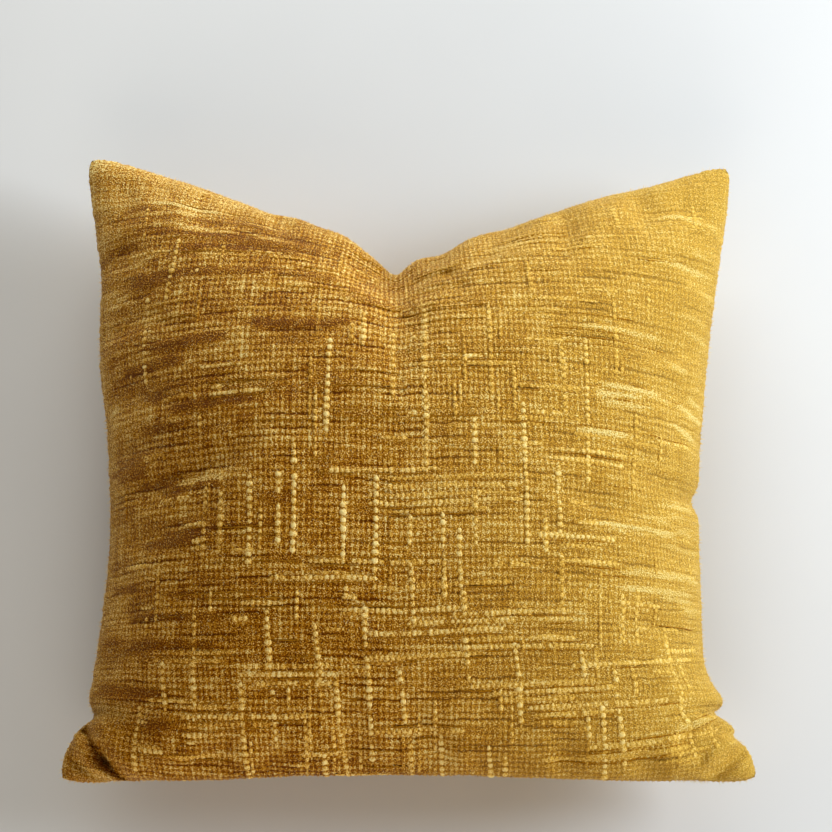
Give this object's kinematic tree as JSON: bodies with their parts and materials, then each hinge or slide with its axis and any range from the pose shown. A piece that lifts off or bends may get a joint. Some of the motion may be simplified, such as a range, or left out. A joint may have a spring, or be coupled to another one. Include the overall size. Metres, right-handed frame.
{
  "type": "filled cushion cover",
  "caption": "Square filled cushion in ribbed crosshatch chenille with knife-edge seams, drawn-in sides and a notch pressed into the top edge, lying on its back.",
  "frame": {"origin": "on the surface that the cushion lies on, below the middle of its bounding box", "axes": "+X to the right across the front panel, +Y towards the notched top edge, +Z out of the front panel, away from the surface"},
  "size_m": [0.4528, 0.4308, 0.146],
  "materials": {
    "cloth": "matt mustard chenille with raised cross threads"
  },
  "bodies": {
    "root": {"cushion": "cloth"}
  },
  "joints": []
}
